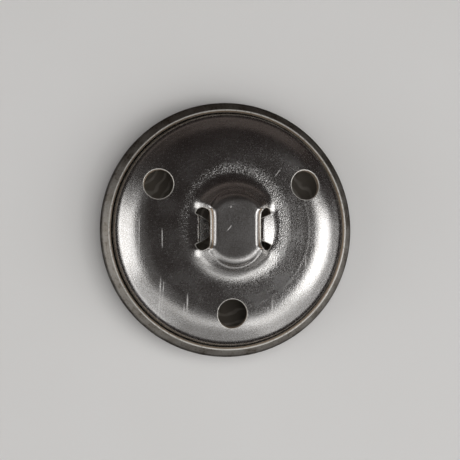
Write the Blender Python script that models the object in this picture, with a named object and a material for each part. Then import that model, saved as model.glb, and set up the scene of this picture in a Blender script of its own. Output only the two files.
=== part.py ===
"""Two-piece metal shank button, 25 mm across, lying on its front with its shank up.

The front shell is a shallow dome whose rim is turned in over the back shell. The back
shell is one sheet: a domed crown with three vent holes, and a skirt that stands inside
the front's rim. A round boss is drawn up in its middle and pierced from both sides, so
that a strap is left across the top and a tongue on each side is pushed in below it. Beside
each window the boss's foot sinks to the crown, and the tongue starts there. The thread
goes in over one tongue, under the strap and out over the other.

Units are metres. The origin is the centre of the flat spot that the button lies on, +Z
points from the front to the shank, the strap runs along Y and the thread along X.
Each shell is drawn as its outer face, and its sheet lies on the inner side of that face.
Bend radii are measured on the inside of the bend, where the sheet is tightest.
"""

import math

import bmesh
import bpy
import numpy as np
from mathutils import Matrix, Vector

MM = 0.001

# Smoothness of the round stretches; the back shell needs an even number of SEGMENTS
SEGMENTS = 64
ARC_STEP = math.radians(15)
ARC_CHORD = 1.6 * MM

# Front shell
BUTTON_RADIUS = 12.5 * MM
FRONT_SHEET = 0.4 * MM
FLAT_SPOT_RADIUS = 6.0 * MM
FRONT_DOME_RADIUS = 24.0 * MM
FRONT_CORNER_RADIUS = 1.0 * MM
WALL_HEIGHT = 0.15 * MM
RIM_REACH = 0.75 * MM
RIM_LEAN = math.radians(50)
RIM_BEND = 0.6 * MM

# Back shell: the shank's height is above the crest of the front's rim
BACK_SHEET = 0.4 * MM
SHANK_HEIGHT = 4.62 * MM
CROWN_SLOPE = math.radians(5)
CROWN_BEND = 3.9 * MM
SHOULDER_WIDTH = 2.0 * MM
SHOULDER_SLOPE = math.radians(36)
SHOULDER_BEND = 1.9 * MM
SIDE_SLOPE = math.radians(70)
BRIM_BEND = 0.3 * MM

# Boss: it is as low as the crown up to the first angle from the middle of a window, and
# has its full height from the second
BOSS_HEIGHT = 1.8 * MM
BOSS_TOP_RADIUS = 3.15 * MM
BOSS_BASE_RADIUS = 4.65 * MM
BOSS_EDGE_BEND = 0.85 * MM
BOSS_BASE_BEND = 2.0 * MM
BOSS_LOW_ANGLE = math.radians(20)
BOSS_FULL_ANGLE = math.radians(42)

# Strap, and the windows beside it: a window is as long as the strap along its inner side,
# spans the turn along its outer side, and bows out at its ends. The strap's edges are rolled
# down, less so at its ends, where they reach out further
STRAP_WIDTH = 4.9 * MM
STRAP_LENGTH = 3.9 * MM
STRAP_EDGE_BEND = 0.3 * MM
STRAP_EDGE_TURN = math.radians(60)
STRAP_END_TURN = math.radians(20)
WINDOW_RADIUS = 4.1 * MM
WINDOW_TURN = math.radians(56)
WINDOW_BOW = 0.2 * MM

# Tongues: the gap is left free between a tongue's root and each corner of its window, and the
# crest is the distance from the middle of the boss to where a tongue turns down
TONGUE_GAP = math.radians(5.5)
TONGUE_CREST = 3.8 * MM
TONGUE_LENGTH = 3.0 * MM
TONGUE_BEND = 0.25 * MM
TONGUE_FALL = math.radians(42)
TONGUE_TAPER = 1.5

# Vent holes, the first of them in line with the strap
VENT_COUNT = 3
VENT_RADIUS = 1.45 * MM
VENT_INSET = 3.0 * MM
VENT_START = math.radians(-90)
VENT_SIDES = 24

# Faces along the strap, round each of its rolled edges, and across and along a tongue
STRAP_ROWS = 8
EDGE_STEPS = 4
TONGUE_COLUMNS = 8
TONGUE_ROWS = 10

# Clearances between the shells
RIM_CLEARANCE = 0.1 * MM
LIP_CLEARANCE = 0.1 * MM

# Places worked out from the sizes
WINDOW_COLUMNS = TONGUE_COLUMNS + 2
TONGUE_TURN = WINDOW_TURN - 2 * TONGUE_GAP
END_COLUMNS = SEGMENTS // 2 - WINDOW_COLUMNS
CORNER_R = BUTTON_RADIUS - FRONT_CORNER_RADIUS
WALL_FOOT_Z = FRONT_DOME_RADIUS - math.sqrt(
    (FRONT_DOME_RADIUS - FRONT_CORNER_RADIUS) ** 2 - (CORNER_R - FLAT_SPOT_RADIUS) ** 2
)
RIM_CORNER_Z = WALL_FOOT_Z + WALL_HEIGHT + (RIM_BEND + FRONT_SHEET) * math.tan(RIM_LEAN / 2)
CREST_R = BUTTON_RADIUS - RIM_REACH
CREST_Z = RIM_CORNER_Z + RIM_REACH / math.tan(RIM_LEAN)
SHANK_TOP_Z = CREST_Z + SHANK_HEIGHT
CROWN_TOP_Z = SHANK_TOP_Z - BOSS_HEIGHT
FOOT_R = CREST_R - FRONT_SHEET * math.cos(RIM_LEAN) - LIP_CLEARANCE


def rounded(corners):
    """A path in (r, z) through corners given as (r, z, fillet radius), its fillets as arcs.

    A fillet is never longer than its share of the straight runs beside it."""
    points = [Vector(corner[:2]) for corner in corners]
    path = [points[0]]
    for before, corner, after, (_, _, radius) in zip(points, points[1:], points[2:], corners[1:]):
        back = before - corner
        onward = after - corner
        turn = math.pi - back.angle(onward)
        trim = min(radius * math.tan(turn / 2), 0.49 * back.length, 0.49 * onward.length)
        radius = trim / math.tan(turn / 2)
        start = corner + back.normalized() * trim
        middle = back.normalized() + onward.normalized()
        centre = corner + middle.normalized() * radius / math.cos(turn / 2)
        sense = math.copysign(1, back.x * onward.y - back.y * onward.x)
        steps = max(math.ceil(turn / ARC_STEP), math.ceil(radius * turn / ARC_CHORD))
        for step in range(steps + 1):
            spoke = Matrix.Rotation(-sense * turn * step / steps, 2) @ (start - centre)
            path.append(centre + spoke)
    path.append(points[-1])
    return path


def arc(centre, radius, start, end):
    """Points in (r, z) on an arc, from one angle to the other."""
    steps = max(
        math.ceil(abs(end - start) / ARC_STEP),
        math.ceil(radius * abs(end - start) / ARC_CHORD),
    )
    angles = [start + (end - start) * step / steps for step in range(steps + 1)]
    return [Vector(centre) + radius * Vector((math.cos(a), math.sin(a))) for a in angles]


def front_profile():
    """The front shell's outer face, from the flat spot up to the crest of its rim."""
    dome_centre = (FLAT_SPOT_RADIUS, FRONT_DOME_RADIUS)
    steepest = math.asin(
        (CORNER_R - FLAT_SPOT_RADIUS) / (FRONT_DOME_RADIUS - FRONT_CORNER_RADIUS)
    )
    down = math.radians(-90)
    dome = arc(dome_centre, FRONT_DOME_RADIUS, down, down + steepest)
    corner = arc((CORNER_R, WALL_FOOT_Z), FRONT_CORNER_RADIUS, down + steepest, 0)
    rim = rounded([
        (BUTTON_RADIUS, WALL_FOOT_Z, 0),
        (BUTTON_RADIUS, RIM_CORNER_Z, RIM_BEND + FRONT_SHEET),
        (CREST_R, CREST_Z, 0),
    ])
    return [Vector((0, 0))] + dome + corner[1:] + rim[1:]


def back_profile():
    """The back shell's outer face, from the top of the boss down to the edge of its skirt.

    The brim and the skirt run along the inside of the front's rim and wall, and the skirt
    stands where the wall starts to curve in under it."""
    inset = FRONT_SHEET + RIM_CLEARANCE
    skirt_r = BUTTON_RADIUS - inset
    brim_z = RIM_CORNER_Z - inset * math.tan(RIM_LEAN / 2)
    foot_z = brim_z + (skirt_r - FOOT_R) / math.tan(RIM_LEAN)

    # The shoulder's outer edge is where the side meets the crown's slope, one shoulder lower
    side = math.tan(SIDE_SLOPE)
    slope = math.tan(CROWN_SLOPE)
    shoulder_drop = SHOULDER_WIDTH * math.tan(SHOULDER_SLOPE)
    level = CROWN_TOP_Z + (BOSS_BASE_RADIUS + SHOULDER_WIDTH) * slope - shoulder_drop
    shoulder_r = (foot_z + FOOT_R * side - level) / (side - slope)
    shoulder_z = level - shoulder_r * slope

    return rounded([
        (0, SHANK_TOP_Z, 0),
        (BOSS_TOP_RADIUS, SHANK_TOP_Z, BOSS_EDGE_BEND + BACK_SHEET),
        (BOSS_BASE_RADIUS, CROWN_TOP_Z, BOSS_BASE_BEND),
        (shoulder_r - SHOULDER_WIDTH, shoulder_z + shoulder_drop, CROWN_BEND + BACK_SHEET),
        (shoulder_r, shoulder_z, SHOULDER_BEND + BACK_SHEET),
        (FOOT_R, foot_z, BRIM_BEND),
        (skirt_r, brim_z, RIM_BEND - RIM_CLEARANCE),
        (skirt_r, WALL_FOOT_Z, 0),
    ])


def height(profile, x, y):
    """The height of a profile at a place, on its stretch that runs outward."""
    r = math.hypot(x, y)
    return float(np.interp(r, [p.x for p in profile], [p.y for p in profile]))


def sunk(x, y, z):
    """A height on the boss's flank, sunk to the crown where the place is beside a window."""
    crown = CROWN_TOP_Z + (BOSS_BASE_RADIUS - math.hypot(x, y)) * math.tan(CROWN_SLOPE)
    angle = math.atan2(abs(y), abs(x))
    share = (angle - BOSS_LOW_ANGLE) / (BOSS_FULL_ANGLE - BOSS_LOW_ANGLE)
    share = min(max(share, 0), 1)
    return z - (1 - share * share * (3 - 2 * share)) * max(z - crown, 0)


def fall(profile, x, y):
    """How steeply the back shell falls with x at a place outside its windows, as a slope."""
    reach = MM / 100
    before = sunk(x - reach, y, height(profile, x - reach, y))
    after = sunk(x + reach, y, height(profile, x + reach, y))
    return (before - after) / (2 * reach)


def loft(bm, rows, closed=False):
    """Faces from each row of vertices to the next; a vertex that repeats makes a triangle."""
    for near, far in zip(rows, rows[1:]):
        pairs = list(zip(near, far))
        following = pairs[1:] + pairs[:1] if closed else pairs[1:]
        for (a, b), (c, d) in zip(pairs, following):
            bm.faces.new(tuple(dict.fromkeys((a, c, d, b))))


def strap_section(turn):
    """The strap's outer face across its width, as (x, drop): flat, with its edges rolled down."""
    bend = STRAP_EDGE_BEND + BACK_SHEET
    flat = STRAP_WIDTH / 2 - bend * math.sin(STRAP_EDGE_TURN)
    flat_steps = END_COLUMNS - 2 * EDGE_STEPS
    middle = [(flat * (2 * step / flat_steps - 1), 0) for step in range(1, flat_steps)]
    radius = bend * STRAP_EDGE_TURN / turn
    turns = [turn * step / EDGE_STEPS for step in range(EDGE_STEPS + 1)]
    edge = [(flat + radius * math.sin(t), radius * (1 - math.cos(t))) for t in turns]
    return [(-x, drop) for x, drop in reversed(edge)] + middle + edge


def rolled(z, roll):
    """A height on the boss that the roll of the strap's edge takes down further."""
    return SHANK_TOP_Z - math.hypot(SHANK_TOP_Z - z, roll)


def strap(bm, profile):
    """Faces of the strap between the windows; returns its first and last row of vertices."""
    rows = []
    for step in range(STRAP_ROWS + 1):
        share = 2 * step / STRAP_ROWS - 1
        y = share * STRAP_LENGTH / 2
        opened = (STRAP_EDGE_TURN - STRAP_END_TURN) * abs(share) ** 3
        section = strap_section(STRAP_EDGE_TURN - opened)
        points = [(x, y, rolled(height(profile, x, y), roll)) for x, roll in section]
        rows.append([bm.verts.new(point) for point in points])
    loft(bm, rows)
    return rows[0], rows[-1]


def strap_end(bm, profile, strap_row, boss_row):
    """Faces from an end of the strap down the boss, in rows where the boss's section bends.

    The roll of the strap's edges fades out on the way down, beside the windows' bowed ends."""
    section = strap_section(STRAP_END_TURN)
    _, edge_roll = section[-1]
    start_r = STRAP_LENGTH / 2
    radii = [point.x for point in profile if start_r < point.x < WINDOW_RADIUS - BACK_SHEET]
    rows = [strap_row]
    for r in radii:
        share = (r - start_r) / (WINDOW_RADIUS - start_r)
        row = []
        for top, foot, (_, roll) in zip(strap_row, boss_row, section):
            x, y, _ = top.co.lerp(foot.co, share)
            y += math.copysign(4 * share * (1 - share) * WINDOW_BOW * roll / edge_roll, y)
            z = sunk(x, y, height(profile, x, y))
            row.append(bm.verts.new((x, y, rolled(z, roll * (1 - share)))))
        rows.append(row)
    loft(bm, rows + [boss_row])


def tongue_path(length, straight, rise):
    """Travel inward and height gained along a tongue: straight up its rise, over, and down."""
    radius = TONGUE_BEND + BACK_SHEET
    bend = radius * (rise + TONGUE_FALL)
    up = min(length, straight)
    turned = min(max(length - straight, 0), bend) / radius
    down = max(length - straight - bend, 0)
    travel = radius * (math.sin(rise) - math.sin(rise - turned))
    gain = radius * (math.cos(rise - turned) - math.cos(rise))
    return (
        up * math.cos(rise) + travel + down * math.cos(TONGUE_FALL),
        up * math.sin(rise) + gain - down * math.sin(TONGUE_FALL),
    )


def tongue(bm, profile, root):
    """A tongue bent in from its root, longest in its middle and none at its ends."""
    radius = TONGUE_BEND + BACK_SHEET
    rows = [root]
    for step in range(1, TONGUE_ROWS + 1):
        row = [root[0]]
        for index, vert in enumerate(root[1:-1], start=1):
            off_middle = 2 * index / (len(root) - 1) - 1
            length = TONGUE_LENGTH * (1 - off_middle ** 2) ** TONGUE_TAPER * step / TONGUE_ROWS
            rise = math.atan(fall(profile, abs(vert.co.x), vert.co.y))
            before_bend = abs(vert.co.x) - TONGUE_CREST - radius * math.sin(rise)
            straight = max(before_bend, 0) / math.cos(rise)
            travel, gain = tongue_path(length, straight, rise)
            inward = -math.copysign(travel, vert.co.x)
            row.append(bm.verts.new(vert.co + Vector((inward, 0, gain))))
        rows.append(row + [root[-1]])
    loft(bm, rows)


def rings(bm, profile):
    """A ring of vertices for each point of the profile, from a window's corner anticlockwise."""
    root = [TONGUE_TURN * (c / TONGUE_COLUMNS - 0.5) for c in range(TONGUE_COLUMNS + 1)]
    end_turn = math.pi - WINDOW_TURN
    end = [WINDOW_TURN / 2 + end_turn * c / END_COLUMNS for c in range(END_COLUMNS)]
    half = [-WINDOW_TURN / 2] + root + end
    angles = half + [math.pi + angle for angle in half]
    rows = []
    for point in profile:
        places = [(point.x * math.cos(angle), point.x * math.sin(angle)) for angle in angles]
        rows.append([bm.verts.new((x, y, sunk(x, y, point.y))) for x, y in places])
    return rows


def back_face(bm):
    """The back shell's outer face, with its windows open and its tongues bent in."""
    profile = back_profile()
    outward = [point for point in profile if point.x > WINDOW_RADIUS + BACK_SHEET]
    crown = rings(bm, [Vector((WINDOW_RADIUS, height(profile, WINDOW_RADIUS, 0)))] + outward)
    loft(bm, crown, closed=True)

    # The innermost ring is shared out: a window, with its tongue one step in from its corners,
    # an end of the strap, and each of them again
    ring = crown[0] + crown[0][:1]
    half = SEGMENTS // 2
    near_row, far_row = strap(bm, profile)
    strap_end(bm, profile, far_row, ring[WINDOW_COLUMNS:half + 1][::-1])
    strap_end(bm, profile, near_row, ring[half + WINDOW_COLUMNS:])
    for start in (0, half):
        tongue(bm, profile, ring[start + 1:start + WINDOW_COLUMNS])


def front_face(bm):
    """The front shell's outer face: its profile spun round the axis."""
    verts = [bm.verts.new((p.x, 0, p.y)) for p in front_profile()]
    edges = [bm.edges.new(pair) for pair in zip(verts, verts[1:])]
    bmesh.ops.spin(
        bm, geom=verts + edges, cent=(0, 0, 0), axis=(0, 0, 1),
        angle=2 * math.pi, steps=SEGMENTS, use_merge=True,
    )
    bmesh.ops.remove_doubles(bm, verts=bm.verts, dist=MM / 1000)


def finish(name, colour, roughness):
    """A polished or satin metal."""
    material = bpy.data.materials.new(name)
    material.use_nodes = True
    shader = material.node_tree.nodes["Principled BSDF"]
    shader.inputs["Base Color"].default_value = colour
    shader.inputs["Metallic"].default_value = 1.0
    shader.inputs["Roughness"].default_value = roughness
    return material


def shell(name, face, sheet, facing, material):
    """An object of sheet metal under an outer face, which mostly faces up (1) or down (-1)."""
    mesh = bpy.data.meshes.new(name)
    bm = bmesh.new()
    face(bm)
    bmesh.ops.recalc_face_normals(bm, faces=bm.faces)
    if facing * sum(f.normal.z * f.calc_area() for f in bm.faces) < 0:
        bmesh.ops.reverse_faces(bm, faces=bm.faces)
    bm.to_mesh(mesh)
    bm.free()
    mesh.materials.append(material)
    obj = bpy.data.objects.new(name, mesh)
    bpy.context.scene.collection.objects.link(obj)
    thickness = obj.modifiers.new("Sheet", "SOLIDIFY")
    thickness.thickness = sheet
    thickness.offset = -1
    thickness.use_even_offset = True
    return obj


def vent_punches():
    """Guides for the vent holes, square to the crown where each one goes through."""
    profile = back_profile()
    r = FOOT_R - VENT_INSET
    lean = Matrix.Rotation(math.atan(fall(profile, r, 0)), 4, "Y")
    place = Matrix.Translation((r, 0, height(profile, r, 0)))
    bm = bmesh.new()
    for vent in range(VENT_COUNT):
        around = Matrix.Rotation(VENT_START + 2 * math.pi * vent / VENT_COUNT, 4, "Z")
        bmesh.ops.create_cone(
            bm, cap_ends=True, segments=VENT_SIDES, radius1=VENT_RADIUS, radius2=VENT_RADIUS,
            depth=2 * (VENT_RADIUS + BACK_SHEET), matrix=around @ place @ lean,
        )
    mesh = bpy.data.meshes.new("vent_punches")
    bm.to_mesh(mesh)
    bm.free()
    punches = bpy.data.objects.new("vent_punches", mesh)
    bpy.context.scene.collection.objects.link(punches)
    punches.hide_render = True
    punches.display_type = "WIRE"
    return punches


def shade(obj):
    """Smooth shading, sharp only at the sheet's cut edges."""
    graph = bpy.context.evaluated_depsgraph_get()
    obj.data = bpy.data.meshes.new_from_object(obj.evaluated_get(graph))
    obj.modifiers.clear()
    obj.data.shade_smooth()
    obj.data.set_sharp_from_angle(angle=math.radians(40))


def main():
    for obj in list(bpy.data.objects):
        bpy.data.objects.remove(obj)

    satin = finish("satin_steel", (0.58, 0.55, 0.50, 1.0), 0.4)
    polished = finish("polished_steel", (0.62, 0.60, 0.57, 1.0), 0.2)

    front = shell("front_shell", front_face, FRONT_SHEET, -1, satin)
    back = shell("back_shell", back_face, BACK_SHEET, 1, polished)
    vents = back.modifiers.new("Vents", "BOOLEAN")
    vents.operation = "DIFFERENCE"
    vents.object = vent_punches()
    shade(front)
    shade(back)


main()
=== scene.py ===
"""Looks of the two-piece metal shank button: both shells in fine sheet metal, seen from above.

The shells follow the sizes of the frame's solids and stand in the same places. Their faces are
finer, and they add what is too small for the solids: rounded cut edges, the lip along each edge
of the strap, the groove round its ends, and tongues that differ from side to side.
Lengths named in millimetres are multiplied by MM, and everything else is in metres.
"""

import math

import bmesh
import bpy
import numpy as np
from mathutils import Matrix, Vector


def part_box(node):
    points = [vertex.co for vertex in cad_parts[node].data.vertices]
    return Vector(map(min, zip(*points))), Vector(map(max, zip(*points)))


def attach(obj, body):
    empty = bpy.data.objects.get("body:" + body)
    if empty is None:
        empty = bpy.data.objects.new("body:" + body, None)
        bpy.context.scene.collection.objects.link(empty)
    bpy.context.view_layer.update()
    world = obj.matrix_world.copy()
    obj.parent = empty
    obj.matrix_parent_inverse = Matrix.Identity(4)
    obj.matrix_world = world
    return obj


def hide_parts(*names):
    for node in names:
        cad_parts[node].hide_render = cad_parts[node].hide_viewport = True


MM = 0.001

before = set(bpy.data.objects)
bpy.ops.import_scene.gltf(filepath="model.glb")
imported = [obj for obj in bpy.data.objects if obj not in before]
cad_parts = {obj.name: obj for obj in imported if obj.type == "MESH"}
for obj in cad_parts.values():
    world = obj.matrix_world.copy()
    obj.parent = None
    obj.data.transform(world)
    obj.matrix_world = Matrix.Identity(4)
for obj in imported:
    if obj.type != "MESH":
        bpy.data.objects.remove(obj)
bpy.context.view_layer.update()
_, front_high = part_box("front_shell")
back_low, back_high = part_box("back_shell")

# Places read from the frame
BUTTON_RADIUS = front_high.x
CREST_Z = front_high.z
SKIRT_RADIUS = back_high.x
SKIRT_FOOT_Z = back_low.z
SHANK_TOP_Z = back_high.z

# Smoothness, the most of a straight run that the fillet at one end of it may take, and how far
# to each side of a place its slope is measured
SEGMENTS = 360
ARC_STEP = math.radians(4)
ROW_STEP = 0.25 * MM
FILLET_SHARE = 0.49
SLOPE_REACH = 0.01 * MM

# A shell's materials after the first, which is that of its outer face
INNER_FACE = 1
SHEARED_EDGE = 2
# The corners' material is pale: burnished metal with a painted highlight along each cut edge
BURNISHED_HIGHLIGHT_CORNER = 3

# Front shell
FRONT_SHEET = 0.4 * MM
FLAT_SPOT_RADIUS = 6.0 * MM
FRONT_DOME_RADIUS = 24.0 * MM
FRONT_CORNER_RADIUS = 1.0 * MM
RIM_REACH = 0.75 * MM
RIM_LEAN = math.radians(50)
RIM_BEND = 0.6 * MM

# Back shell
BACK_SHEET = 0.4 * MM
CROWN_SLOPE = math.radians(5)
CROWN_BEND = 3.9 * MM
SHOULDER_WIDTH = 2.0 * MM
SHOULDER_SLOPE = math.radians(36)
SHOULDER_BEND = 0.8 * MM
SIDE_SLOPE = math.radians(80)
BRIM_BEND = 0.3 * MM
RIM_CLEARANCE = 0.1 * MM
LIP_CLEARANCE = 0.04 * MM

# Boss: as low as the crown up to the first angle from the middle of a window, and of its
# full height from the second
BOSS_HEIGHT = 1.8 * MM
BOSS_TOP_RADIUS = 3.15 * MM
BOSS_BASE_RADIUS = 4.65 * MM
BOSS_EDGE_BEND = 0.85 * MM
BOSS_BASE_BEND = 2.0 * MM
BOSS_LOW_ANGLE = math.radians(20)
BOSS_FULL_ANGLE = math.radians(42)

# Strap: its edges are rolled down between the windows and end in a small lip; near its ends
# they open, and they flare out over the last stretch of each half
STRAP_LENGTH = 3.9 * MM
STRAP_HALF_FLAT = 1.78 * MM
STRAP_ROLL_RADIUS = 0.47 * MM
STRAP_ROLL_TURN = math.radians(78)
STRAP_LIP = 0.2 * MM
STRAP_LIP_SLOPE = math.radians(34)
STRAP_WIDTH = 4.9 * MM
STRAP_EDGE_BEND = 0.3 * MM
STRAP_EDGE_TURN = math.radians(60)
STRAP_END_TURN = math.radians(20)
STRAP_OPENING_POWER = 5
STRAP_FLARE = 0.06
STRAP_FLARE_START = 0.8

# Groove round each end of the strap, about a centre on its middle line
GROOVE_CENTRE = 1.1 * MM
GROOVE_RADIUS = 2.6 * MM
GROOVE_INNER_WIDTH = 0.26 * MM
GROOVE_OUTER_WIDTH = 0.1 * MM
GROOVE_DEPTH = 0.09 * MM
GROOVE_START = 0.3 * MM

# Windows beside the strap, and the tongues bent in from their outer sides
WINDOW_RADIUS = 4.1 * MM
WINDOW_TURN = math.radians(56)
WINDOW_BOW = 0.2 * MM
TONGUE_GAP = math.radians(5.5)
LEFT_TONGUE_CREST = 3.6 * MM
RIGHT_TONGUE_CREST = 2.85 * MM
RIGHT_TONGUE_LIFT = math.radians(10)
TONGUE_LENGTH = 3.0 * MM
TONGUE_BEND = 0.25 * MM
TONGUE_FALL = math.radians(42)
TONGUE_TAPER = 1.5

# Vent holes
VENT_COUNT = 3
VENT_RADIUS = 1.45 * MM
VENT_INSET = 3.06 * MM
VENT_START = math.radians(-90)
VENT_SHIFT = 0.15 * MM

# Places worked out from the sizes
COLUMN = 2 * math.pi / SEGMENTS
WINDOW_COLUMNS = 2 * round(WINDOW_TURN / COLUMN / 2)
GAP_COLUMNS = round(TONGUE_GAP / COLUMN)
END_COLUMNS = SEGMENTS // 2 - WINDOW_COLUMNS
CREST_R = BUTTON_RADIUS - RIM_REACH
RIM_CORNER_Z = CREST_Z - RIM_REACH / math.tan(RIM_LEAN)
CROWN_TOP_Z = SHANK_TOP_Z - BOSS_HEIGHT
FOOT_R = CREST_R - FRONT_SHEET * math.cos(RIM_LEAN) - LIP_CLEARANCE


def rounded(corners):
    """A path through corners (r, z, fillet radius), with each fillet as an arc."""
    points = [Vector(corner[:2]) for corner in corners]
    path = [points[0]]
    for before, corner, after, (_, _, radius) in zip(points, points[1:], points[2:], corners[1:]):
        back = before - corner
        onward = after - corner
        turn = math.pi - back.angle(onward)
        shorter = min(back.length, onward.length)
        trim = min(radius * math.tan(turn / 2), FILLET_SHARE * shorter)
        radius = trim / math.tan(turn / 2)
        start = corner + back.normalized() * trim
        middle = back.normalized() + onward.normalized()
        centre = corner + middle.normalized() * radius / math.cos(turn / 2)
        sense = math.copysign(1, back.x * onward.y - back.y * onward.x)
        steps = math.ceil(turn / ARC_STEP)
        for step in range(steps + 1):
            spoke = Matrix.Rotation(-sense * turn * step / steps, 2) @ (start - centre)
            path.append(centre + spoke)
    path.append(points[-1])
    return path


def evenly(path):
    """The same path with its long straight runs divided."""
    points = [path[0]]
    for start, end in zip(path, path[1:]):
        steps = max(1, round((end - start).length / ROW_STEP))
        points += [start.lerp(end, step / steps) for step in range(1, steps + 1)]
    return points


def arc(centre, radius, start, end):
    """Points on an arc from one angle to another."""
    steps = math.ceil(abs(end - start) / ARC_STEP)
    angles = [start + (end - start) * step / steps for step in range(steps + 1)]
    return [centre + radius * Vector((math.cos(a), math.sin(a))) for a in angles]


def front_profile():
    """The front shell's outer face, from the middle of the flat spot round to the rim's crest."""
    dome_centre = Vector((FLAT_SPOT_RADIUS, FRONT_DOME_RADIUS))
    corner_r = BUTTON_RADIUS - FRONT_CORNER_RADIUS
    lean = math.asin((corner_r - FLAT_SPOT_RADIUS) / (FRONT_DOME_RADIUS - FRONT_CORNER_RADIUS))
    low = -math.pi / 2
    dome = arc(dome_centre, FRONT_DOME_RADIUS, low, low + lean)
    corner_centre = Vector((corner_r, SKIRT_FOOT_Z))
    corner = arc(corner_centre, FRONT_CORNER_RADIUS, low + lean, 0)
    rim = rounded([
        (BUTTON_RADIUS, SKIRT_FOOT_Z, 0),
        (BUTTON_RADIUS, RIM_CORNER_Z, RIM_BEND + FRONT_SHEET),
        (CREST_R, CREST_Z, 0),
    ])
    run = rim[-1] - rim[-2]
    rim[-1] -= run.normalized() * RIM_ROUNDING
    return evenly([Vector((0, 0))] + dome + corner[1:] + rim[1:])


def back_profile():
    """The back shell's outer face, from the top of the boss down to the edge of its skirt."""
    inset = FRONT_SHEET + RIM_CLEARANCE
    brim_z = RIM_CORNER_Z - inset * math.tan(RIM_LEAN / 2)
    foot_z = brim_z + (SKIRT_RADIUS - FOOT_R) / math.tan(RIM_LEAN)
    side = math.tan(SIDE_SLOPE)
    slope = math.tan(CROWN_SLOPE)
    shoulder_drop = SHOULDER_WIDTH * math.tan(SHOULDER_SLOPE)
    level = CROWN_TOP_Z + (BOSS_BASE_RADIUS + SHOULDER_WIDTH) * slope - shoulder_drop
    shoulder_r = (foot_z + FOOT_R * side - level) / (side - slope)
    shoulder_z = level - shoulder_r * slope
    return evenly(rounded([
        (0, SHANK_TOP_Z, 0),
        (BOSS_TOP_RADIUS, SHANK_TOP_Z, BOSS_EDGE_BEND + BACK_SHEET),
        (BOSS_BASE_RADIUS, CROWN_TOP_Z, BOSS_BASE_BEND),
        (shoulder_r - SHOULDER_WIDTH, shoulder_z + shoulder_drop, CROWN_BEND + BACK_SHEET),
        (shoulder_r, shoulder_z, SHOULDER_BEND + BACK_SHEET),
        (FOOT_R, foot_z, BRIM_BEND),
        (SKIRT_RADIUS, brim_z, RIM_BEND - RIM_CLEARANCE),
        (SKIRT_RADIUS, SKIRT_FOOT_Z, 0),
    ]))


PROFILE = back_profile()
PROFILE_R = [point.x for point in PROFILE]
PROFILE_Z = [point.y for point in PROFILE]


def height(x, y):
    """The height of the back shell's outer face at a place, on its stretch that runs outward."""
    return float(np.interp(math.hypot(x, y), PROFILE_R, PROFILE_Z))


def sunk(x, y, z):
    """A height on the boss's flank, sunk to the crown where the place is beside a window."""
    crown = CROWN_TOP_Z + (BOSS_BASE_RADIUS - math.hypot(x, y)) * math.tan(CROWN_SLOPE)
    angle = math.atan2(abs(y), abs(x))
    share = (angle - BOSS_LOW_ANGLE) / (BOSS_FULL_ANGLE - BOSS_LOW_ANGLE)
    share = min(max(share, 0), 1)
    return z - (1 - share * share * (3 - 2 * share)) * max(z - crown, 0)


def fall(x, y):
    """How steeply the back shell falls with x at a place outside its windows, as a slope."""
    before = sunk(x - SLOPE_REACH, y, height(x - SLOPE_REACH, y))
    after = sunk(x + SLOPE_REACH, y, height(x + SLOPE_REACH, y))
    return (before - after) / (2 * SLOPE_REACH)


def loft(bm, rows, closed=False, painted_shade_columns=()):
    """Faces from each row of vertices to the next; a vertex that repeats makes a triangle.

    The columns given last get the dark brown material of the sheared edges, as painted shade."""
    for near, far in zip(rows, rows[1:]):
        pairs = list(zip(near, far))
        following = pairs[1:] + pairs[:1] if closed else pairs[1:]
        for column, ((a, b), (c, d)) in enumerate(zip(pairs, following)):
            face = bm.faces.new(tuple(dict.fromkeys((a, c, d, b))))
            if column in painted_shade_columns:
                face.material_index = SHEARED_EDGE


def rings(bm, profile):
    """A ring of vertices for each point of the profile, from a window's corner anticlockwise.

    The front shell lies lower than the crown, so nothing of it is sunk."""
    angles = [COLUMN * (column - WINDOW_COLUMNS // 2) for column in range(SEGMENTS)]
    rows = []
    for point in profile:
        places = [(point.x * math.cos(angle), point.x * math.sin(angle)) for angle in angles]
        rows.append([bm.verts.new((x, y, sunk(x, y, point.y))) for x, y in places])
    return rows


# Blocks of the crown's grid, each with a vent hole, and the loops of faces in a block: how far
# each lies from the block's border towards the hole's edge
VENT_R = FOOT_R - VENT_INSET
VENT_BLOCK_REACH = 2.1 * MM
VENT_BLOCK_COLUMNS = 30
VENT_SHARES = (0.0, 0.25, 0.5, 0.7, 0.82, 0.89, 0.94, 0.975, 1.0)


def vent_angles():
    """The directions of the vent holes from the button's middle."""
    return [VENT_START + 2 * math.pi * vent / VENT_COUNT for vent in range(VENT_COUNT)]


def crown(bm, profile):
    """The crown's rings as faces, with each vent hole left open in a block of its own."""
    ring_rows = rings(bm, profile)
    rows = [i for i, p in enumerate(profile) if abs(p.x - VENT_R) < VENT_BLOCK_REACH]
    first, last = rows[0], rows[-1]
    middles = [round(angle / COLUMN) + WINDOW_COLUMNS // 2 for angle in vent_angles()]
    half = VENT_BLOCK_COLUMNS // 2
    blocked = {(m + offset) % SEGMENTS for m in middles for offset in range(-half, half)}
    for row in range(len(ring_rows) - 1):
        for column in range(SEGMENTS):
            if first <= row < last and column in blocked:
                continue
            near, far = ring_rows[row], ring_rows[row + 1]
            after = (column + 1) % SEGMENTS
            bm.faces.new((near[column], near[after], far[after], far[column]))
    for middle, angle in zip(middles, vent_angles()):
        columns = [(middle + offset) % SEGMENTS for offset in range(-half, half + 1)]
        border = [ring_rows[first][c] for c in columns]
        border += [ring_rows[r][columns[-1]] for r in range(first + 1, last)]
        border += [ring_rows[last][c] for c in reversed(columns)]
        border += [ring_rows[r][columns[0]] for r in range(last - 1, first, -1)]
        vent(bm, border, angle)
    inside = {
        ring_rows[row][(m + offset) % SEGMENTS]
        for row in range(first + 1, last)
        for m in middles
        for offset in range(-half + 1, half)
    }
    for vert in inside:
        bm.verts.remove(vert)
    return ring_rows


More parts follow.
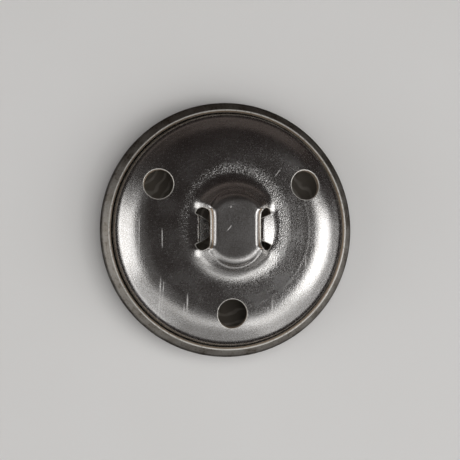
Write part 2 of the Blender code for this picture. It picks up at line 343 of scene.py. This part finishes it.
def vent(bm, border, angle):
    """Faces between a block's border and the round edge of the vent hole in it."""
    lean = math.atan(fall(VENT_R, 0))
    outward = Vector((math.cos(angle), math.sin(angle)))
    across = Vector((-outward.y, outward.x))
    centre = outward * VENT_R + Vector((0, VENT_SHIFT))
    loops = [border]
    for share in VENT_SHARES[1:]:
        loop = []
        for vert in border:
            away = vert.co.xy - centre
            turn = math.atan2(away.dot(across), away.dot(outward))
            edge = centre + (VENT_RADIUS + HOLE_ROUNDING) * (
                outward * math.cos(turn) * math.cos(lean) + across * math.sin(turn)
            )
            place = vert.co.xy.lerp(edge, share)
            loop.append(bm.verts.new((*place, height(*place))))
        loops.append(loop)
    loft(bm, loops, closed=True)


# Faces round each rolled edge of the strap and each lip, along the strap and along a tongue
ROLL_STEPS = 12
LIP_STEPS = 5
STRAP_ROWS = 44
END_STEP = 0.06 * MM
TONGUE_ROWS = 40

# Columns of the strap, counted from its edge, where the crease above the lip is painted in the
# dark brown of the sheared edges, as painted shade
CREASE_SHADE_COLUMNS = range(2, 7)


def across_strap(flat, edge):
    """A section across the strap as (x, drop): level up to each of its edges."""
    steps = END_COLUMNS - 2 * len(edge) + 2
    middle = [(flat * (2 * step / steps - 1), 0) for step in range(1, steps)]
    return [(-x, drop) for x, drop in reversed(edge)] + middle + edge


def rolled_section():
    """The section midway along the strap: each edge rolls down, then turns out to a lip."""
    edge = []
    for step in range(ROLL_STEPS + 1):
        turn = STRAP_ROLL_TURN * step / ROLL_STEPS
        edge.append((
            STRAP_HALF_FLAT + STRAP_ROLL_RADIUS * math.sin(turn),
            STRAP_ROLL_RADIUS * (1 - math.cos(turn)),
        ))
    x, drop = edge[-1]
    for step in range(1, LIP_STEPS + 1):
        reach = STRAP_LIP * step / LIP_STEPS
        edge.append((
            x + reach * math.cos(STRAP_LIP_SLOPE), drop + reach * math.sin(STRAP_LIP_SLOPE)
        ))
    return across_strap(STRAP_HALF_FLAT, edge)


def open_section():
    """The section at the strap's ends: each edge only leans down a little."""
    bend = STRAP_EDGE_BEND + BACK_SHEET
    flat = STRAP_WIDTH / 2 - bend * math.sin(STRAP_EDGE_TURN)
    radius = bend * STRAP_EDGE_TURN / STRAP_END_TURN
    steps = ROLL_STEPS + LIP_STEPS
    turns = [STRAP_END_TURN * step / steps for step in range(steps + 1)]
    return across_strap(flat, [
        (flat + radius * math.sin(turn), radius * (1 - math.cos(turn))) for turn in turns
    ])


def rolled(z, roll):
    """A height on the boss that the roll of the strap's edge takes down further."""
    return SHANK_TOP_Z - math.hypot(SHANK_TOP_Z - z, roll)


def grooved(x, y, z):
    """A height on the boss with the shallow groove that goes round each end of the strap.

    It starts at the strap's corners, and its inner side is the gentler one."""
    off = math.hypot(x, abs(y) - GROOVE_CENTRE) - GROOVE_RADIUS
    width = GROOVE_INNER_WIDTH if off < 0 else GROOVE_OUTER_WIDTH
    share = min((abs(y) - STRAP_LENGTH / 2) / GROOVE_START, 1)
    return z - share * GROOVE_DEPTH * math.exp(-(off / width) ** 2)


def strap(bm):
    """Faces of the strap between the windows; returns its first and last row of vertices."""
    rows = []
    for step in range(STRAP_ROWS + 1):
        share = 2 * step / STRAP_ROWS - 1
        y = share * STRAP_LENGTH / 2
        opened = abs(share) ** STRAP_OPENING_POWER
        flaring = max(abs(share) - STRAP_FLARE_START, 0) / (1 - STRAP_FLARE_START)
        flare = 1 + STRAP_FLARE * flaring ** 2
        row = []
        for (x, drop), (end_x, end_drop) in zip(rolled_section(), open_section()):
            x = (x + (end_x - x) * opened) * flare
            drop += (end_drop - drop) * opened
            row.append(bm.verts.new((x, y, rolled(height(x, y), drop))))
        rows.append(row)
    # Painted shade: the crease columns on both sides of the strap take the dark brown sheared-edge
    # material
    crease_shade = {*CREASE_SHADE_COLUMNS, *(END_COLUMNS - 1 - column for column in CREASE_SHADE_COLUMNS)}
    loft(bm, rows, painted_shade_columns=crease_shade)
    return rows[0], rows[-1]


def strap_end(bm, strap_row, boss_row):
    """Faces from an end of the strap down the boss to the ring at the windows' outer sides.

    The roll of the strap's edges fades out on the way down, beside the windows' bowed ends."""
    section = open_section()
    _, edge_roll = section[-1]
    steps = round((WINDOW_RADIUS - STRAP_LENGTH / 2) / END_STEP)
    rows = [strap_row]
    for step in range(1, steps):
        share = step / steps
        row = []
        for top, foot, (_, roll) in zip(strap_row, boss_row, section):
            x, y, _ = top.co.lerp(foot.co, share)
            y += math.copysign(4 * share * (1 - share) * WINDOW_BOW * roll / edge_roll, y)
            z = sunk(x, y, height(x, y))
            row.append(bm.verts.new((x, y, grooved(x, y, rolled(z, roll * (1 - share))))))
        rows.append(row)
    loft(bm, rows + [boss_row])


def tongue_path(length, straight, rise):
    """Travel inward and height gained along a tongue: straight up its rise, over, and down."""
    radius = TONGUE_BEND + BACK_SHEET
    bend = radius * (rise + TONGUE_FALL)
    up = min(length, straight)
    turned = min(max(length - straight, 0), bend) / radius
    down = max(length - straight - bend, 0)
    travel = radius * (math.sin(rise) - math.sin(rise - turned))
    gain = radius * (math.cos(rise - turned) - math.cos(rise))
    return (
        up * math.cos(rise) + travel + down * math.cos(TONGUE_FALL),
        up * math.sin(rise) + gain - down * math.sin(TONGUE_FALL),
    )


def tongue(bm, root, crest, lift):
    """A tongue bent in from its root, longest in its middle and none at its ends."""
    radius = TONGUE_BEND + BACK_SHEET
    rows = [root]
    for step in range(1, TONGUE_ROWS + 1):
        row = [root[0]]
        for index, vert in enumerate(root[1:-1], start=1):
            off_middle = 2 * index / (len(root) - 1) - 1
            length = TONGUE_LENGTH * (1 - off_middle ** 2) ** TONGUE_TAPER * step / TONGUE_ROWS
            rise = math.atan(fall(abs(vert.co.x), vert.co.y)) + lift
            before_bend = abs(vert.co.x) - crest - radius * math.sin(rise)
            straight = max(before_bend, 0) / math.cos(rise)
            travel, gain = tongue_path(length, straight, rise)
            inward = -math.copysign(travel, vert.co.x)
            row.append(bm.verts.new(vert.co + Vector((inward, 0, gain))))
        rows.append(row + [root[-1]])
    loft(bm, rows)


def back_face(bm):
    """The back shell's outer face, with its holes open and its tongues bent in."""
    outward = [point for point in PROFILE if point.x > WINDOW_RADIUS + ROW_STEP]
    first = crown(bm, [Vector((WINDOW_RADIUS, height(WINDOW_RADIUS, 0)))] + outward)[0]

    # The innermost ring is shared out: a window, with its tongue some columns in from its
    # corners, an end of the strap, and each of them again
    ring = first + first[:1]
    half = SEGMENTS // 2
    near_row, far_row = strap(bm)
    strap_end(bm, far_row, ring[WINDOW_COLUMNS:half + 1][::-1])
    strap_end(bm, near_row, ring[half + WINDOW_COLUMNS:])
    root = slice(GAP_COLUMNS, WINDOW_COLUMNS - GAP_COLUMNS + 1)
    tongue(bm, ring[root], RIGHT_TONGUE_CREST, RIGHT_TONGUE_LIFT)
    tongue(bm, ring[half:][root], LEFT_TONGUE_CREST, 0)


def front_face(bm):
    """The front shell's outer face."""
    profile = front_profile()
    ring_rows = rings(bm, profile[1:])
    middle = bm.verts.new((0, 0, profile[0].y))
    loft(bm, [[middle] * SEGMENTS] + ring_rows, closed=True)


# Cut edges are rounded, in this many faces for each of their two corners
RIM_ROUNDING = 0.1 * MM
HOLE_ROUNDING = 0.07 * MM
CUT_STEPS = 4

# Near the shank the sheet is measured straight down, as its bends are too tight there to be
# followed on the inside
UPRIGHT_RADIUS = 4.3 * MM
UPRIGHT_FADE = 0.9 * MM


def through(vert, upright):
    """The way through the sheet from a place on its outer face."""
    if not upright:
        return -vert.normal
    share = (vert.co.xy.length - UPRIGHT_RADIUS) / UPRIGHT_FADE
    share = min(max(share, 0), 1)
    return -(vert.normal * share + Vector((0, 0, 1 - share))).normalized()


def ways_out(edges, inner):
    """The way out of the sheet, level with it, at each vertex of its open edges."""
    outward = {}
    for edge in edges:
        along = edge.verts[1].co - edge.verts[0].co
        middle = (edge.verts[0].co + edge.verts[1].co) / 2
        away = middle - edge.link_faces[0].calc_center_median()
        for vert in edge.verts:
            turn = along.cross(inner[vert].co - vert.co).normalized()
            turn *= math.copysign(1, turn.dot(away))
            outward[vert] = outward.get(vert, Vector()) + turn
    return outward


def cut_section(depth):
    """A cut's section as (drop, reach) in roundings, for a sheet that is this many deep."""
    turns = [math.pi / 2 * step / CUT_STEPS for step in range(1, CUT_STEPS + 1)]
    corner = [(1 - math.cos(turn), math.sin(turn)) for turn in turns]
    lower = [(depth - drop, reach) for drop, reach in reversed(corner)]
    return corner + lower


def cut_edges(bm, inner, rounding):
    """Rounded faces from each open edge of the outer face to the same edge of the inner one."""
    edges = [edge for edge in bm.edges if edge.is_boundary and edge.verts[0] in inner]
    loops = {}
    for vert, out in ways_out(edges, inner).items():
        out = out.normalized()
        depth = inner[vert].co - vert.co
        down = depth.normalized()
        loops[vert] = [vert] + [
            bm.verts.new(vert.co + rounding * (down * drop + out * reach))
            for drop, reach in cut_section(depth.length / rounding)
        ] + [inner[vert]]
    for edge in edges:
        first, second = edge.verts
        if edge.link_loops[0].vert is first:
            first, second = second, first
        rungs = list(zip(loops[first], loops[second]))
        for step, ((a, b), (c, d)) in enumerate(zip(rungs, rungs[1:])):
            face = bm.faces.new((a, b, d, c))
            # The corner faces take the pale corner material, which paints a highlight along the
            # edge
            face.material_index = SHEARED_EDGE if step == CUT_STEPS else BURNISHED_HIGHLIGHT_CORNER


def shell(name, face, sheet, facing, upright, rounding, materials):
    """A piece of sheet metal under an outer face that faces up (1) or down (-1)."""
    mesh = bpy.data.meshes.new(name)
    bm = bmesh.new()
    face(bm)
    bmesh.ops.recalc_face_normals(bm, faces=bm.faces)
    if facing * sum(f.normal.z * f.calc_area() for f in bm.faces) < 0:
        bmesh.ops.reverse_faces(bm, faces=bm.faces)
    bm.normal_update()
    outer_faces = list(bm.faces)
    inner = {
        vert: bm.verts.new(vert.co + sheet * through(vert, upright)) for vert in list(bm.verts)
    }
    for outer in outer_faces:
        twin = bm.faces.new([inner[vert] for vert in reversed(outer.verts)])
        twin.material_index = INNER_FACE
    cut_edges(bm, inner, rounding)
    bm.to_mesh(mesh)
    bm.free()
    for material in materials:
        mesh.materials.append(material)
    piece = bpy.data.objects.new(name, mesh)
    bpy.context.scene.collection.objects.link(piece)
    mesh.shade_smooth()
    return piece


# Noise hardly leaves this range
NOISE_RANGE = (0.3, 0.7)


class Nodes:
    """A material's nodes, added one by one."""

    def __init__(self, name):
        self.material = bpy.data.materials.new(name)
        self.material.use_nodes = True
        self.tree = self.material.node_tree
        self.shader = self.tree.nodes["Principled BSDF"]
        coordinates = self.tree.nodes.new("ShaderNodeTexCoord")
        scale = self.tree.nodes.new("ShaderNodeVectorMath")
        scale.operation = "SCALE"
        scale.inputs["Scale"].default_value = 1 / MM
        self.tree.links.new(coordinates.outputs["Object"], scale.inputs[0])
        self.place = scale.outputs[0]

    def link(self, source, target):
        """Joins an output to an input."""
        self.tree.links.new(source, target)

    def surface(self, name, value):
        """An input of the shader, as a number or as the result of other nodes."""
        if isinstance(value, (int, float)):
            self.shader.inputs[name].default_value = value
        else:
            self.link(value, self.shader.inputs[name])

    def noise(self, scale, detail=2.0, stretch=(1, 1, 1), roughness=0.5):
        """Noise with this many cells a millimetre, as a value from 0 to 1."""
        mapping = self.tree.nodes.new("ShaderNodeMapping")
        mapping.inputs["Scale"].default_value = stretch
        texture = self.tree.nodes.new("ShaderNodeTexNoise")
        texture.inputs["Scale"].default_value = scale
        texture.inputs["Detail"].default_value = detail
        texture.inputs["Roughness"].default_value = roughness
        self.link(self.place, mapping.inputs["Vector"])
        self.link(mapping.outputs[0], texture.inputs["Vector"])
        return texture.outputs["Fac"]

    def clouded(self, clouds, low, high):
        """A number that drifts between two with the clouds."""
        return self.spread(clouds, *NOISE_RANGE, low, high)

    def math(self, operation, *values):
        """A sum, product or other result of numbers and of other nodes' results."""
        step = self.tree.nodes.new("ShaderNodeMath")
        step.operation = operation
        for value, socket in zip(values, step.inputs):
            if isinstance(value, (int, float)):
                socket.default_value = value
            else:
                self.link(value, socket)
        return step.outputs[0]

    def spread(self, value, low, high, to_low=0.0, to_high=1.0):
        """The value from low to high, smoothly carried over to another range."""
        step = self.tree.nodes.new("ShaderNodeMapRange")
        step.interpolation_type = "SMOOTHSTEP"
        for name, number in (
            ("From Min", low), ("From Max", high), ("To Min", to_low), ("To Max", to_high)
        ):
            step.inputs[name].default_value = number
        self.link(value, step.inputs["Value"])
        return step.outputs["Result"]

    def blend(self, share, first, second):
        """A colour between two, by a share from 0 to 1."""
        step = self.tree.nodes.new("ShaderNodeMix")
        step.data_type = "RGBA"
        step.inputs[6].default_value = (*first, 1)
        step.inputs[7].default_value = (*second, 1)
        self.link(share, step.inputs[0])
        return step.outputs[2]

    def bump(self, value, depth):
        """The normal of a relief of this depth in millimetres."""
        step = self.tree.nodes.new("ShaderNodeBump")
        step.inputs["Distance"].default_value = depth * MM
        self.link(value, step.inputs["Height"])
        return step.outputs["Normal"]

    def along(self, direction, offset=0.0):
        """How far a place lies along a direction, in millimetres."""
        step = self.tree.nodes.new("ShaderNodeVectorMath")
        step.operation = "DOT_PRODUCT"
        step.inputs[1].default_value = direction
        self.link(self.place, step.inputs[0])
        return self.math("SUBTRACT", step.outputs["Value"], offset)

    def radius(self, y=0.0, stretch=1.0):
        """Distance in millimetres from an upright line through Y, less or more along Y."""
        step = self.tree.nodes.new("ShaderNodeVectorMath")
        step.operation = "MULTIPLY_ADD"
        step.inputs[1].default_value = (1, stretch, 0)
        step.inputs[2].default_value = (0, -y * stretch, 0)
        self.link(self.place, step.inputs[0])
        length = self.tree.nodes.new("ShaderNodeVectorMath")
        length.operation = "LENGTH"
        self.link(step.outputs[0], length.inputs[0])
        return length.outputs["Value"]

    def scratch(self, x, y, length, turn, width):
        """A straight scratch about a place on the back, in millimetres, at a turn in degrees."""
        way = Vector((math.cos(math.radians(turn)), math.sin(math.radians(turn)), 0))
        side = Vector((-way.y, way.x, 0))
        middle = Vector((x, y, 0))
        lengthwise = self.math("ABSOLUTE", self.along(way, middle.dot(way)))
        sideways = self.math("ABSOLUTE", self.along(side, middle.dot(side)))
        return self.math(
            "MULTIPLY",
            self.spread(lengthwise, length / 2, length / 4),
            self.spread(sideways, width, width / 3),
        )


# Scratches on the back as (x, y, length, turn, width): millimetres and degrees
SCRATCHES = (
    (-9.15, -1.3, 6.5, 90, 0.07),
    (-6.95, -0.9, 2.2, 91, 0.06),
    (-7.08, -6.7, 4.6, 90, 0.09),
    (-6.82, -6.5, 3.4, 88, 0.07),
    (-4.45, -7.5, 2.8, 90, 0.1),
    (-4.75, -7.9, 1.6, 91, 0.07),
    (3.95, -7.6, 1.9, 89, 0.08),
    (7.25, -3.1, 1.4, 90, 0.08),
    (4.45, 5.5, 1.0, 52, 0.06),
    (-0.70, 0.05, 0.85, 52, 0.06),
    (-0.55, 2.1, 0.22, 90, 0.09),
    (2.2, -9.2, 1.6, 90, 0.05),
)


# Colours between a darker and a paler one, and roughness between two values
NICKEL = ((0.52, 0.50, 0.475), (0.76, 0.75, 0.74))
NICKEL_ROUGHNESS = (0.24, 0.28)
SATIN = ((0.13, 0.105, 0.08), (0.36, 0.34, 0.31))
SATIN_ROUGHNESS = (0.44, 0.55)
INSIDE = ((0.36, 0.32, 0.27), (0.80, 0.75, 0.68))
INSIDE_ROUGHNESS = (0.3, 0.45)
SHEARED = ((0.30, 0.21, 0.14), (0.48, 0.38, 0.28))
SHEARED_ROUGHNESS = (0.35, 0.55)
# Cut edges' corners: pale and partly diffuse, burnished metal with a painted highlight along each
# edge
BURNISHED_HIGHLIGHT = ((0.66, 0.63, 0.56), (0.82, 0.80, 0.76))
BURNISHED_HIGHLIGHT_ROUGHNESS = (0.25, 0.4)

# Relief of the polished plate: cells a millimetre, how far the grain changes the colour, and
# depths and places in millimetres
GRAIN = 9.5
GRAIN_TONE = 2.6
GRAIN_DEPTH = 0.011
STREAK_DEPTH = 0.006
WAVE_DEPTH = 0.02
PRESS_LINE_R = 7.5
PRESS_LINE_WIDTH = 0.25
PRESS_LINE_DEPTH = 0.006

# The rough ring round the boss's foot: where it sets in and has its full depth on its inner and
# on its outer side, and the direction in which it gets stronger
RING_MIDDLE_Y = 0.35
RING_STRETCH = 0.87
RING_INNER = (4.3, 4.7)
RING_OUTER = (5.9, 4.9)
RING_DEPTH = 0.042
RING_WAY = (0.4, 0.92, 0)
RING_WAY_RANGE = (-5.5, 1.0)
RING_LEAST = 0.3

# Small specks of the polished plate: where noise becomes a speck, and how much rougher and
# paler it is there
SPECK_RANGE = (0.56, 0.7)
SPECK_ROUGHNESS = 0.12
SPECK_TONE = 0.4

# The strap's top is a little rougher: it sets in at the first of these distances below the top,
# in millimetres, and is full at the second
BRUSHED = (0.5, 0.15)
BRUSHED_ROUGHNESS = 0.07

# Scratches are uneven: from this noise comes how far they take the shine off
SCRATCH_NOISE = (0.3, 0.6)
SCRATCH_STRENGTH = (0.3, 0.75)

# The satin plate: where noise becomes a speck, how much darker it is there, which tones reach
# from its darker colour to its paler one, and the grain's depth in millimetres
SATIN_SPECK_RANGE = (0.52, 0.66)
SATIN_SPECK_TONE = 0.2
SATIN_TONE_RANGE = (0.0, 0.7)
SATIN_GRAIN_DEPTH = 0.02

# Rings on the inner faces: how far they drift in millimetres, radians a millimetre, and the
# stretch of their wave that gets paler
ARC_DRIFT = 3.0
ARC_TURN = 6.0
ARC_RANGE = (0.2, 1.0)


def plate_relief(nodes, grain):
    """Grain that is deeper in the ring, faint streaks and waves, and a line left by the press."""
    streaks = nodes.noise(3.0, detail=2.0, stretch=(1, 0.05, 1))
    waves = nodes.noise(0.45, detail=1.0)
    gain = nodes.spread(nodes.along(RING_WAY), *RING_WAY_RANGE, RING_LEAST, 1.0)
    foot = nodes.radius(y=RING_MIDDLE_Y, stretch=RING_STRETCH)
    ring = nodes.math("MULTIPLY", nodes.spread(foot, *RING_INNER), nodes.spread(foot, *RING_OUTER))
    rough = nodes.math("MULTIPLY", ring, gain)
    depth = nodes.math("ADD", GRAIN_DEPTH, nodes.math("MULTIPLY", rough, RING_DEPTH))
    relief = nodes.math("MULTIPLY", grain, depth)
    relief = nodes.math("ADD", relief, nodes.math("MULTIPLY", streaks, STREAK_DEPTH))
    relief = nodes.math("ADD", relief, nodes.math("MULTIPLY", waves, WAVE_DEPTH))
    off_line = nodes.math("ABSOLUTE", nodes.math("SUBTRACT", nodes.radius(), PRESS_LINE_R))
    line = nodes.spread(off_line, PRESS_LINE_WIDTH, 0.0, 0.0, PRESS_LINE_DEPTH)
    return nodes.math("ADD", relief, line)


def scratched(nodes):
    """How far the scratches take the shine off, from 0 to 1."""
    marks = nodes.scratch(*SCRATCHES[0])
    for scratch in SCRATCHES[1:]:
        marks = nodes.math("MAXIMUM", marks, nodes.scratch(*scratch))
    uneven = nodes.spread(nodes.noise(1.5, detail=2.0), *SCRATCH_NOISE, *SCRATCH_STRENGTH)
    return nodes.math("MULTIPLY", marks, uneven)


def polished_metal():
    """Bright nickel plate with fine grain, scratches and a rough ring round the boss's foot."""
    nodes = Nodes("polished_nickel")
    grain = nodes.noise(GRAIN, detail=1.0)
    nodes.surface("Normal", nodes.bump(plate_relief(nodes, grain), 1.0))
    nodes.surface("Metallic", nodes.math("SUBTRACT", 1.0, scratched(nodes)))

    clouds = nodes.noise(0.35, detail=3.0)
    specks = nodes.spread(nodes.noise(7.0, detail=2.0, roughness=0.8), *SPECK_RANGE)
    start, full = (SHANK_TOP_Z / MM - below for below in BRUSHED)
    brushed = nodes.spread(nodes.along((0, 0, 1)), start, full, 0.0, BRUSHED_ROUGHNESS)
    roughness = nodes.math("ADD", nodes.clouded(clouds, *NICKEL_ROUGHNESS), brushed)
    roughness = nodes.math("ADD", roughness, nodes.math("MULTIPLY", specks, SPECK_ROUGHNESS))
    nodes.surface("Roughness", roughness)
    tone = nodes.math("ADD", clouds, nodes.math("MULTIPLY", specks, SPECK_TONE))
    grained = nodes.math("MULTIPLY", nodes.math("SUBTRACT", grain, 0.5), GRAIN_TONE)
    tone = nodes.math("ADD", tone, grained)
    nodes.surface("Base Color", nodes.blend(tone, *NICKEL))
    return nodes.material


def satin_metal():
    """Nickel plate with a fine satin finish and small dark specks."""
    nodes = Nodes("satin_nickel")
    clouds = nodes.noise(0.8, detail=4.0)
    specks = nodes.spread(nodes.noise(4.0, detail=3.0), *SATIN_SPECK_RANGE)
    tone = nodes.math("SUBTRACT", clouds, nodes.math("MULTIPLY", specks, SATIN_SPECK_TONE))
    tone = nodes.spread(tone, *SATIN_TONE_RANGE)
    nodes.surface("Metallic", 1.0)
    nodes.surface("Normal", nodes.bump(nodes.noise(8.0, detail=2.0), SATIN_GRAIN_DEPTH))
    nodes.surface("Roughness", nodes.clouded(clouds, *SATIN_ROUGHNESS))
    nodes.surface("Base Color", nodes.blend(tone, *SATIN))
    return nodes.material


def inside_metal():
    """The dull inner faces, browner than the outside, with faint rings left by the press."""
    nodes = Nodes("dull_inside")
    clouds = nodes.noise(1.2, detail=3.0)
    drift = nodes.math("MULTIPLY", nodes.noise(0.3, detail=2.0), ARC_DRIFT)
    waves = nodes.math("MULTIPLY", nodes.math("ADD", nodes.radius(), drift), ARC_TURN)
    arcs = nodes.spread(nodes.math("SINE", waves), *ARC_RANGE)
    tone = nodes.math("MULTIPLY", arcs, clouds)
    nodes.surface("Metallic", 0.6)
    nodes.surface("Roughness", nodes.clouded(clouds, *INSIDE_ROUGHNESS))
    nodes.surface("Base Color", nodes.blend(tone, *INSIDE))
    return nodes.material


def cut_metal(name, scale, metallic, roughness, colors):
    """A clouded metal for a cut edge, with its roughness and its colour between two each."""
    nodes = Nodes(name)
    clouds = nodes.noise(scale, detail=3.0)
    nodes.surface("Metallic", metallic)
    nodes.surface("Roughness", nodes.clouded(clouds, *roughness))
    nodes.surface("Base Color", nodes.blend(clouds, *colors))
    return nodes.material


def sheared_metal():
    """Sheared edges, rough and dull, where the base metal shows brown."""
    return cut_metal("sheared_edge", 3.0, 0.5, SHEARED_ROUGHNESS, SHEARED)


def burnished_highlight_metal():
    """The rounded corners of a cut edge, paler and duller than the plate beside them: burnished
    metal, with a painted highlight in their pale colour.
    """
    return cut_metal("burnished_highlight_corner", 2.0, 0.45, BURNISHED_HIGHLIGHT_ROUGHNESS, BURNISHED_HIGHLIGHT)


# Floor, and the dark room round it
FLOOR_SIZE = 1.2
FLOOR = ((0.74, 0.73, 0.71), (0.78, 0.77, 0.76))
FLOOR_ROUGHNESS = 0.9
ROOM_COLOR = (0.020, 0.016, 0.015, 1)

# Softboxes as (name, azimuth, near, far, half width, radiance): those round the button, a warm
# one behind it, and one for the floor alone
LIGHT_DISTANCE = 0.5
SOFTBOXES = (
    ("right_softbox", -10, 34, 70, 16, 1.8),
    ("right_edge", -28, 36, 84, 34, 0.6),
    ("left_softbox", 186, 46, 76, 20, 1.35),
    ("left_edge", 200, 66, 92, 42, 0.9),
    ("near_fill", -90, 40, 88, 36, 0.26),
    ("near_strip", -90, 36, 56, 42, 0.42),
    ("near_sky", -140, 12, 40, 60, 0.06),
)
FAR_FILL = ("far_fill", 90, 72, 92, 50, 0.09)
FAR_FILL_COLOR = (1.0, 0.84, 0.76)
FLOOR_LIGHT = ("floor_light", 0, -20, 40, 30, 1.2)


def floor():
    """A plain pale floor, which the metal doesn't reflect: the photograph's ground is black."""
    mesh = bpy.data.meshes.new("floor")
    half = FLOOR_SIZE / 2
    corners = [(-half, -half, 0), (half, -half, 0), (half, half, 0), (-half, half, 0)]
    mesh.from_pydata(corners, [], [(0, 1, 2, 3)])
    plane = bpy.data.objects.new("floor", mesh)
    bpy.context.scene.collection.objects.link(plane)
    nodes = Nodes("pale_floor")
    tone = nodes.noise(0.05, detail=2.0)
    nodes.surface("Roughness", FLOOR_ROUGHNESS)
    nodes.surface("Base Color", nodes.blend(tone, *FLOOR))
    mesh.materials.append(nodes.material)
    plane.visible_glossy = False


def facing(back, up):
    """The turn that points a camera's or a light's back along one direction, with its top up."""
    right = up.cross(back).normalized()
    return Matrix((right, back.cross(right), back)).transposed().to_euler()


def softbox(name, azimuth, near, far, half_width, radiance):
    """A rectangular light that covers the sky between two angles from the zenith, on one side.

    The azimuth is measured anticlockwise from +X, and all angles are in degrees."""
    middle = math.radians((near + far) / 2)
    half_height = math.radians((far - near) / 2)
    turn = math.radians(azimuth)
    towards = Vector((
        math.sin(middle) * math.cos(turn), math.sin(middle) * math.sin(turn), math.cos(middle)
    ))
    data = bpy.data.lights.new(name, "AREA")
    data.shape = "RECTANGLE"
    data.size = 2 * LIGHT_DISTANCE * math.tan(math.radians(half_width))
    data.size_y = 2 * LIGHT_DISTANCE * math.tan(half_height)
    data.energy = radiance * data.size * data.size_y * math.pi
    light = bpy.data.objects.new(name, data)
    bpy.context.scene.collection.objects.link(light)
    light.location = towards * LIGHT_DISTANCE
    light.rotation_euler = facing(towards, Vector((0, 0, 1)))
    return light


def studio():
    """Softboxes in a dark room, a warm one behind the button, and one for the floor alone."""
    world = bpy.data.worlds.new("dark_room")
    world.use_nodes = True
    world.node_tree.nodes["Background"].inputs["Color"].default_value = ROOM_COLOR
    bpy.context.scene.world = world
    for box in SOFTBOXES:
        softbox(*box)
    softbox(*FAR_FILL).data.color = FAR_FILL_COLOR
    softbox(*FLOOR_LIGHT).visible_glossy = False


# The camera looks down at the target and leans over to -X, and a little to -Y
CAMERA_TILT = math.radians(10.4)
CAMERA_TURN = math.radians(1.3)
CAMERA_DISTANCE = 0.27
CAMERA_LENS = 215
CAMERA_SENSOR = 36
CAMERA_CLIP = 0.01
TARGET = Vector((0.277 * MM, -0.025 * MM, 2.5 * MM))


def camera():
    """The camera at the photograph's angle."""
    data = bpy.data.cameras.new("camera")
    data.lens = CAMERA_LENS
    data.sensor_width = CAMERA_SENSOR
    data.clip_start = CAMERA_CLIP
    eye = bpy.data.objects.new("camera", data)
    bpy.context.scene.collection.objects.link(eye)
    back = Vector((-math.sin(CAMERA_TILT), -math.sin(CAMERA_TURN), math.cos(CAMERA_TILT)))
    back.normalize()
    eye.location = TARGET + back * CAMERA_DISTANCE
    eye.rotation_euler = facing(back, Vector((0, 1, 0)))
    bpy.context.scene.camera = eye


def main():
    """Sets the stage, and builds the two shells."""
    camera()
    floor()
    studio()
    others = (inside_metal(), sheared_metal(), burnished_highlight_metal())
    front = shell(
        "front_shell_sheet", front_face, FRONT_SHEET, -1, False, RIM_ROUNDING,
        (satin_metal(), *others),
    )
    back = shell(
        "back_shell_sheet", back_face, BACK_SHEET, 1, True, HOLE_ROUNDING,
        (polished_metal(), *others),
    )
    for piece, node, slot in (
        (front, "front_shell", "front_metal"), (back, "back_shell", "back_metal")
    ):
        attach(piece, "root")
        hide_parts(node)
    bpy.context.scene.view_settings.view_transform = "Standard"


main()
